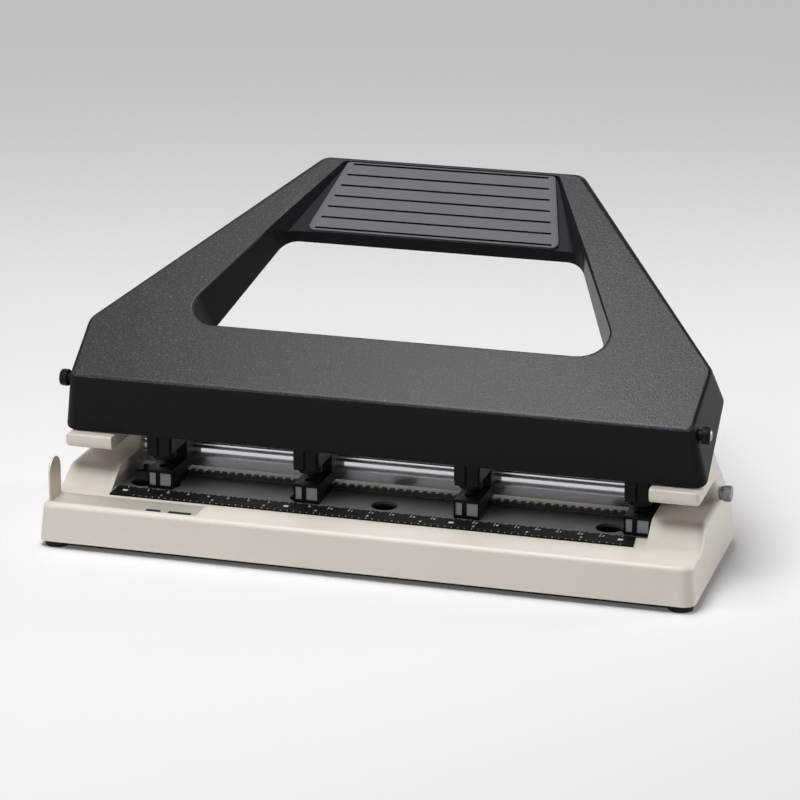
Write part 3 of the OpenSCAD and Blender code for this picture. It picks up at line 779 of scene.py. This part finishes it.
# The groove floors get the dark finish as painted shade.
for face in grip.data.polygons:
    z, x = (face.center - pad_start).dot(pad_normal) / MM, abs(face.center.x) / MM
    low = PAD_T - GROOVE_D - 0.05 < z < PAD_T - 0.1 and face.area < 2e-4
    groove_floor_shade = low and x < pad_half(0) - 3.0 and face.normal.dot(pad_normal) > -0.5
    face.material_index = int(groove_floor_shade)
stands_for(grip, "lever", "grip_rubber", "grip_pad")

# %% [markdown]
# ## Turned pieces
# The hinge pins and the lock rod were made on a lathe, so they are made the
# same way here: a profile is spun about its axis. The Screw modifier could
# spin it too, but here the knob's grip also gets fine ridges, by letting the
# radius rise and fall on the way round.

# %% Lathe
RIDGES, RIDGE_DEPTH = 24, 0.16


def turned_piece(name, rows, centre, materials=(), steps=48):
    """Rows are (place along X, radius) in mm, and where there are ridges a
    third number gives the share of their depth."""
    bm = bmesh.new()
    rings = []
    for x, radius, *share in rows:
        ring, ridge = [], RIDGE_DEPTH * share[0] if share else 0
        for k in range(steps):
            angle = math.tau * k / steps
            r = radius - ridge * (0.5 - 0.5 * math.cos(RIDGES * angle))
            ring.append(bm.verts.new(base_place(
                x, centre[0] + r * math.cos(angle), centre[1] + r * math.sin(angle))))
        rings.append(ring)
    for low, high in zip(rings, rings[1:]):
        for k in range(steps):
            j = (k + 1) % steps
            bm.faces.new((low[k], low[j], high[j], high[k]))
    bm.faces.new(rings[0])
    bm.faces.new(rings[-1])
    bmesh.ops.recalc_face_normals(bm, faces=bm.faces)
    return smoothed(as_object(bm, name, *materials))

# %% [markdown]
# ## The base casting
# The casting is a shallow box with a cheek at each end. Both are made with
# their rounds first: the box is a loft of rounded outlines, and each cheek is
# its side view run across and given a round on its outer edge. A Bevel on the
# joined whole would trip over the places where the rounds meet.

# %% Casting sizes
BASE_HALF, BASE_D, LIFT, DECK_Z, SHELF_Z = 157.2, 105.0, 3.5, 21.9, 30.5
EDGE_ROUND, PLAN_ROUND, LEAN, SIDE_LEAN, EDGE_STEPS = 2.4, 6.0, 1.2, 1.8, 5
SKIRT_H, WAIST_Z, CHEEK_IN = DECK_Z - LIFT, 50.0, 129.5
THROAT_H, THROAT_D, ARM_Y, ARM_Z = 10.7, 68.8, 28.0, 41.2
LEDGE_Y, LEDGE_Z, EYE_R = 36.4, 48.2, 3.5
SHAFT_Y, SHAFT_Z = 74.0, 33.5
PIN_LOW, PIN_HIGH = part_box("punch_pin_1")
PIN_Y = (PIN_LOW[1] + PIN_HIGH[1]) / 2 / MM - FRONT


def half_width(z):
    """Half the casting's width at a height: it leans in, more above the waist."""
    lower = BASE_HALF - SIDE_LEAN / SKIRT_H * (min(z, WAIST_Z) - LIFT)
    return lower - (0.2 + 0.2 * (z - WAIST_Z) if z > WAIST_Z else 0)


def skirt_ring(z, pull):
    """The box's outline at a height, pulled in for the round of its edge."""
    share = (z - LIFT) / SKIRT_H
    x, y0, y1 = half_width(z) - pull, LEAN * share + pull, BASE_D - LEAN * share - pull
    corners = [(-x, y0, z), (x, y0, z), (x, y1, z), (-x, y1, z)]
    return rounded(corners, (PLAN_ROUND - pull * 0.6,) * 4, 8)


print("the pins stand", round(PIN_Y, 1), "mm behind the front edge")

# %% The cheek's side view
def arc(y, z, radius, start, end, steps):
    for k in range(steps + 1):
        a = math.radians(start + (end - start) * k / steps)
        yield y + radius * math.cos(a), z + radius * math.sin(a)


def cheek_outline():
    """From the foot of the ramp up it, round the throat, along the arm, over
    the hinge's eye and down the rear."""
    turns = [math.pi * k / 12 for k in range(13)]
    ramp = [(24 + 18 * k / 12, DECK_Z + (SHELF_Z - DECK_Z) * (1 - math.cos(turn)) / 2)
            for k, turn in enumerate(turns)]
    throat = arc(THROAT_D - THROAT_H / 2, SHELF_Z + THROAT_H / 2, THROAT_H / 2, -90, 90, 12)
    arm = arc(ARM_Y + 3, ARM_Z + 3, 3, 270, 180, 5)
    ledge = arc(ARM_Y + 1.2, LEDGE_Z - 1.2, 1.2, 180, 90, 3)
    eye = arc(HINGE_Y, HINGE_Z, EYE_R, 180, 60, 12)
    reach, rise = BASE_D - HINGE_Y, HINGE_Z - LIFT
    rear = [(HINGE_Y + a * reach, LIFT + b * rise)
            for a, b in ((0.1, 1.02), (0.25, 0.943), (0.52, 0.765), (0.795, 0.44))]
    return [(98.6, 15), (24, 15), *ramp, *throat, *arm, *ledge, (LEDGE_Y, LEDGE_Z), *eye,
            *rear, (98.65, 20.5)]


# %% Cheeks
def cheek(side):
    """One end cheek, with a large round along its outer edge and a small one inside."""
    outline = cheek_outline()
    bm = loft([[(side * CHEEK_IN, y, z) for y, z in outline],
               [(side * half_width(z), y, z) for y, z in outline]], base_place)
    for inner, lowest, width, steps in ((False, 18, EDGE_ROUND, 4), (True, 31.5, 0.8, 2)):
        edges = []
        for edge in bm.edges:
            a, b = (v.co / MM for v in edge.verts)
            if min(a.z, b.z) < lowest or abs(a.y - b.y) + abs(a.z - b.z) < 1e-3:
                continue
            x0, x1 = abs(a.x), abs(b.x)
            near_in = max(x0, x1) < CHEEK_IN + 0.01
            near_out = abs(x0 - half_width(a.z)) < 0.01 and abs(x1 - half_width(b.z)) < 0.01
            if near_in if inner else near_out:
                edges.append(edge)
        bmesh.ops.bevel(bm, geom=edges, offset=width * MM, segments=steps, profile=0.5,
                        affect="EDGES", clamp_overlap=False)
    bmesh.ops.recalc_face_normals(bm, faces=bm.faces)
    return as_object(bm, "cheek")


def block(name, low, high, *materials):
    """A block between two corners, for cutting with or for a small plate."""
    corners = ((low[0], low[1]), (high[0], low[1]), (high[0], high[1]), (low[0], high[1]))
    rings = [[(x, y, z) for x, y in corners] for z in (low[2], high[2])]
    return as_object(loft(rings, base_place), name, *materials)


# %% [markdown]
# ## Milling the casting
# The raw casting is joined from its three lofts. Then the seats, the bores and
# the drawer's mouth are cut, as a milling cutter would. The cutters run past
# the faces they open, because two faces in one plane give a Boolean trouble.

# %% Casting
rings = [skirt_ring(LIFT, 0)]
for k in range(EDGE_STEPS, -1, -1):
    a = math.radians(90 * k / EDGE_STEPS)
    rings.append(skirt_ring(DECK_Z - EDGE_ROUND * (1 - math.cos(a)), EDGE_ROUND * (1 - math.sin(a))))
base = as_object(loft(rings, base_place), "base_enamelled", CREAM, RACK)
cut(base, [cheek(-1), cheek(1)], "UNION")
cut(base, [
    block("hollow", (-152.4, 4.2, 2.5), (152.4, 100.8, 17.9)),
    block("plate_seat", (-131.1, 34.2, 19.5), (131.1, 61.2, 21.1)),
    block("plate_slot", (-CHEEK_IN, 34.2, 21.0), (CHEEK_IN, 61.2, 22.9)),
    block("chip_slot", (-127, PIN_Y - 7.3, 3.4), (127, PIN_Y + 7.3, 21.95)),
    block("bar_pocket", (-133.5, 64.4, 25.4), (133.5, 76.4, 30.3)),
    block("drawer_mouth", (-158.2, 30.7, 2.4), (-151.4, 69.3, 16.3)),
    block("guide_groove", (-158.2, 4.6, 20.7), (-79.4, 18.4, 22.95)),
    turned_piece("shaft_bore", ((-159, 2.35), (159, 2.35)), (SHAFT_Y, SHAFT_Z)),
    turned_piece("hinge_bore", ((-159, 2.55), (159, 2.55)), (HINGE_Y, HINGE_Z))])
evened(smoothed(base, 28))

# %% Darkened faces in the channel and the slot
# The faces in the channel of the rack and the bar, and in the slot for the chips,
# get the dark rack steel instead of the enamel. In the slot this is painted shade.
WALL_AREA = 1.5e-3
for face in base.data.polygons:
    x, y, z = (face.center / MM).to_tuple()
    in_channel = abs(x) < 133.6 and 61.1 < y - FRONT < 77 and 20.5 < z < 30.5
    in_slot = abs(x) < 127.2 and abs(y - FRONT - PIN_Y) < 7.5 and z < 21.9
    # These faces get the dark steel, and in the chip slot it is painted shade.
    if (in_channel or in_slot) and face.area < WALL_AREA:
        face.material_index = 1
stands_for(base, "base", "cream_paint", "base_casting")

# %% [markdown]
# ## Heads and catches
# Each head is a black C-shaped moulding with a catch in front. The model has
# their shapes right, so their meshes are copied and only the edges are eased,
# and the black shapes still show a thin line of light. The rib between the
# panes of the index window moves a little to the left, as in the picture.

# %% Heads
for i in HEADS:
    head = copy_of(f"head_{i}", f"head_{i}_eased", DARK)
    low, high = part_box(f"index_window_{i}")
    middle, z0, z1 = (low[0] + high[0]) / 2 / MM, low[2] / MM - 0.05, high[2] / MM + 0.05
    cut(head, [block("old_rib", (middle - 0.96, 38, z0), (middle + 0.96, 38.92, z1))])
    cut(head, [block("new_rib", (middle - 2.2, 38.5, z0 - 0.3), (middle - 0.1, 38.9, z1 + 0.3))],
        "UNION")
    stands_for(eased(head, 0.45), f"head_body_{i}", "dark_trim", f"head_{i}")
    catch = copy_of(f"catch_{i}", f"catch_{i}_eased", DARK)
    stands_for(eased(catch, 0.35), f"catch_body_{i}", "dark_trim", f"catch_{i}")

# %% [markdown]
# ## Springs
# Each pin has a return spring round it. Here each spring is a copy of the
# model's, which rides on its head and gets a mesh of its own.

# %% Springs
PIN_TRAVEL, SLACK = 5.629, 0.1
for i in HEADS:
    spring = smoothed(copy_of(f"spring_{i}", f"spring_{i}_wound", SPRING), 60)
    low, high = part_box(f"spring_{i}")
    seat = ((low[0] + high[0]) / 2, (low[1] + high[1]) / 2, low[2])
    length = (high[2] - low[2]) / MM
    stands_for(spring, f"head_body_{i}", "spring_steel", f"spring_{i}")
    (length - PIN_TRAVEL - SLACK) / length
    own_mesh(spring)

# %% [markdown]
# ## Pins and rods
# The hinge pins have domed heads with a bright rivet in a dark cup. The lock
# rod runs behind the guide bar and ends in the ridged knob. All three are
# profiles for the lathe, written from the inner end outwards.

# %% Hinge pins
PIN_ROWS = ((123.6, 2.3), (123.8, 2.5), (152.35, 2.5), (152.4, 3.8), (152.6, 4.0), (155.2, 4.0),
            (155.8, 3.85), (156.2, 3.5), (156.3, 3.1), (156.0, 2.85), (155.9, 2.7), (156.35, 2.4),
            (156.6, 1.8), (156.7, 0.8))
RIVET_X, RIVET_R = 155.7, 2.9
for side, number in ((-1, 1), (1, 2)):
    pin = turned_piece(f"hinge_pin_{number}_turned", [(side * x, r) for x, r in PIN_ROWS],
                       (HINGE_Y, HINGE_Z), (DARK, KNOB))
    for face in pin.data.polygons:
        x, y, z = (face.center / MM).to_tuple()
        from_axis = math.hypot(y - FRONT - HINGE_Y, z - HINGE_Z)
        face.material_index = int(abs(x) > RIVET_X and from_axis < RIVET_R)
    stands_for(pin, "lever", "dark_trim", f"hinge_pin_{number}")

# %% Lock rod and knob
ROD_END = 154.5
ROD_ROWS = ((-147.0, 2.0), (-146.7, 2.3), (ROD_END, 2.3), (154.57, 3.2), (154.8, 3.4),
            (155.7, 3.4), (155.8, 3.1), (156.0, 3.1), (156.1, 3.6), (156.3, 3.8, 0.2),
            (156.5, 3.8, 1), (159.0, 3.8, 1), (159.3, 3.8, 0.2), (159.6, 3.7), (159.9, 3.4),
            (159.97, 3.0), (159.8, 2.6), (159.75, 1.0))
rod = turned_piece("lock_rod", ROD_ROWS, (SHAFT_Y, SHAFT_Z), (BRIGHT, KNOB), steps=96)
for face in rod.data.polygons:
    face.material_index = int(face.center.x > ROD_END * MM)
stands_for(rod, "lock", "bright_steel", "lock_shaft")

# %% [markdown]
# ## The paper guide
# A flat nickelled strip slides in its groove, and its bent-up tab stops the
# paper. Two wide notches in its front edge hold dark pads that click on a
# spring in the groove, and two narrow nicks lie further left. The strip is a
# copy of the model's, and only the notches and nicks are cut.

# %% Guide
NOTCHES, NICKS = ((-104.5, -97.5), (-93.5, -82.5)), ((-128, -127), (-118, -117))
NOTCH_DEEP, NICK_DEEP, GAP = 2.6, 0.8, 0.05
guide = copy_of("paper_guide", "paper_guide_notched", NICKEL)
cut(guide, [block("notch", (x0, 3, 20), (x1, 4.7 + deep, 23))
            for places, deep in ((NOTCHES, NOTCH_DEEP), (NICKS, NICK_DEEP)) for x0, x1 in places])
stands_for(eased(guide, 0.25), "guide", "guide_nickel", "paper_guide")
click = block("guide_click_spring", (-106, 4.75, 20.71), (-81, 7.4, 20.745), DARK)
stands_for(click, "base", "dark_trim")
for number, (x0, x1) in enumerate(NOTCHES, 1):
    pad = block(f"guide_click_pad_{number}", (x0 + GAP, 4.9, 20.85), (x1 - GAP, 7.25, 22.0), RUBBER)
    stands_for(pad, "guide", "dark_trim")

# %% [markdown]
# ## The scale strip
# A thin black strip lies on the deck in front of the bed plate. Its left end
# is cut square, its right end runs a little aslant, and its edges are broken
# by a small round. A loft of its outline is quicker than mending the copy.

# %% Strip
STRIP_SLANT = 1.5
low, high = ([v / MM for v in corner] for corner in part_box("scale_strip"))
y0, y1 = low[1] - FRONT, high[1] - FRONT
ring = ((low[0], y0), (high[0] + STRIP_SLANT, y0), (high[0], y1), (low[0], y1))
rings = [[(x, y, z) for x, y in ring] for z in (low[2], high[2])]
strip = as_object(loft(rings, base_place), "scale_strip_square", INK)
stands_for(eased(strip, 0.2), "base", "dark_trim", "scale_strip")

# %% [markdown]
# ## The scale
# The black strip carries two plain scales: centimetres along its rear edge and
# inches along its front edge, and a white block at each of the four standard
# hole places. Ticks are many and alike, so one Geometry Nodes tree with named
# inputs makes every row. It sets a small block on each point of a line.

# %% Ticks
SCALE_TOP, PRINT_T, SCALE_START, HOLE_STEP = 22.7, 0.04, -122.7, 80


def tick_tree():
    """The tree of a row of ticks, with its sizes as named inputs."""
    tree = bpy.data.node_groups.new("tick_row", "GeometryNodeTree")
    for name, kind in (("Count", "Int"), ("Step", "Float"), ("Start", "Vector"),
                       ("Tick", "Vector"), ("Ink", "Material")):
        tree.interface.new_socket(name, in_out="INPUT", socket_type="NodeSocket" + kind)
    tree.interface.new_socket("Geometry", in_out="OUTPUT", socket_type="NodeSocketGeometry")
    made = {name: tree.nodes.new(kind) for name, kind in (
        ("given", "NodeGroupInput"), ("result", "NodeGroupOutput"),
        ("line", "GeometryNodeMeshLine"), ("tick", "GeometryNodeMeshCube"),
        ("copies", "GeometryNodeInstanceOnPoints"), ("real", "GeometryNodeRealizeInstances"),
        ("inked", "GeometryNodeSetMaterial"), ("offset", "ShaderNodeCombineXYZ"))}
    for giver, output, taker, socket in (
            ("given", "Step", "offset", "X"), ("offset", 0, "line", "Offset"),
            ("given", "Count", "line", "Count"), ("given", "Start", "line", "Start Location"),
            ("given", "Tick", "tick", "Size"), ("line", 0, "copies", "Points"),
            ("tick", 0, "copies", "Instance"), ("copies", 0, "real", 0),
            ("real", 0, "inked", "Geometry"), ("given", "Ink", "inked", "Material"),
            ("inked", 0, "result", 0)):
        tree.links.new(made[giver].outputs[output], made[taker].inputs[socket])
    return tree


# %% Rows of ticks
TICKS = tick_tree()
SOCKETS = {s.name: s.identifier for s in TICKS.interface.items_tree if s.in_out == "INPUT"}


def tick_row(name, count, step, x, y, long, wide_mm):
    """A row of printed ticks from x on, centred on y, as one plain mesh."""
    piece = as_object(bmesh.new(), name, WHITE)
    row = piece.modifiers.new("ticks", "NODES")
    row.node_group = TICKS
    start = base_place(x, y, SCALE_TOP + PRINT_T / 2)
    for key, value in (("Count", count), ("Step", step * MM), ("Start", start),
                       ("Tick", (wide_mm * MM, long * MM, PRINT_T * MM)), ("Ink", WHITE)):
        row[SOCKETS[key]] = value
    return settled(piece)


marks = [
    tick_row("cm_fine", 121, 2, SCALE_START, 33.05, 0.7, 0.22),
    tick_row("cm_half", 49, 5, SCALE_START, 32.8, 1.2, 0.25),
    tick_row("cm_long", 25, 10, SCALE_START, 32.5, 1.8, 0.3),
    tick_row("inch_fine", 75, 3.175, -116.5, 21.6, 0.7, 0.3),
    tick_row("inch_half", 19, 12.7, -116.5, 21.9, 1.3, 0.35),
    tick_row("hole_marks", len(HEADS), HOLE_STEP, SCALE_START, 27.6, 2.0, 2.3),
]
print(len(marks), "rows of ticks")

# %% [markdown]
# ## The numbers
# The centimetres are numbered along the rear and the inches along the front,
# but no number lies on a white block. Text objects are made a mesh first and
# put in their place after, and then the whole print becomes one piece.

# %% Numbers
DIGIT_SIZE, CLEAR_OF_BLOCK = 3.0, 2


def digits(text, x, y):
    """A printed number, made a mesh before it is put in its place."""
    words = bpy.data.curves.new("digits", "FONT")
    words.body, words.size = text, DIGIT_SIZE * MM
    words.align_x, words.align_y = "CENTER", "CENTER"
    words.extrude, words.resolution_u = PRINT_T / 2 * MM, 1
    shown = placed(bpy.data.objects.new("digits", words))
    bpy.context.view_layer.update()
    mesh = bpy.data.meshes.new_from_object(
        shown.evaluated_get(bpy.context.evaluated_depsgraph_get()))
    bpy.data.objects.remove(shown)
    mesh.transform(Matrix.Translation(base_place(x, y, SCALE_TOP + PRINT_T / 2)))
    mesh.materials.clear()
    mesh.materials.append(WHITE)
    return placed(bpy.data.objects.new("digits", mesh))


def joined(pieces, name):
    """Several loose pieces as one object."""
    bm = bmesh.new()
    for piece in pieces:
        bm.from_mesh(piece.data)
        bpy.data.objects.remove(piece)
    return as_object(bm, name, WHITE)


for k in range(1, 24):
    if all(abs(10 * k - HOLE_STEP * n) > CLEAR_OF_BLOCK for n in range(len(HEADS))):
        marks.append(digits(str(k), -122.0 + 10 * k, 30.0))
for k in range(9):
    marks.append(digits(str(k + 1), -103.8 + 25.4 * k, 25.2))
stands_for(joined(marks, "scale_print"), "base", "dark_trim")

# %% [markdown]
# ## Pieces that keep the model's mesh
# Plates, feet, dies and pins have the right shape already. They are small or
# lie in the shade, so they keep the model's mesh and only get their finish.

# %% Finishes for the rest
FINISH_OF = {
    "bottom_plate": DARK, "chip_drawer": DRAWER, "bed_plate": BED, "stop_rack": RACK,
    "guide_bar": BRIGHT, "lever_frame": PLATE, "pressure_bar": BRIGHT,
}
for i in HEADS:
    FINISH_OF.update({f"foot_{i}": RUBBER, f"die_{i}": DIE, f"index_window_{i}": WINDOW,
                      f"punch_pin_{i}": BRIGHT})
for node, finish in FINISH_OF.items():
    mesh = NODES[node].data
    if not mesh.materials:
        mesh.materials.append(finish)
    for slot in NODES[node].material_slots:
        slot.material = finish
print(len(FINISH_OF), "pieces keep the model's mesh")
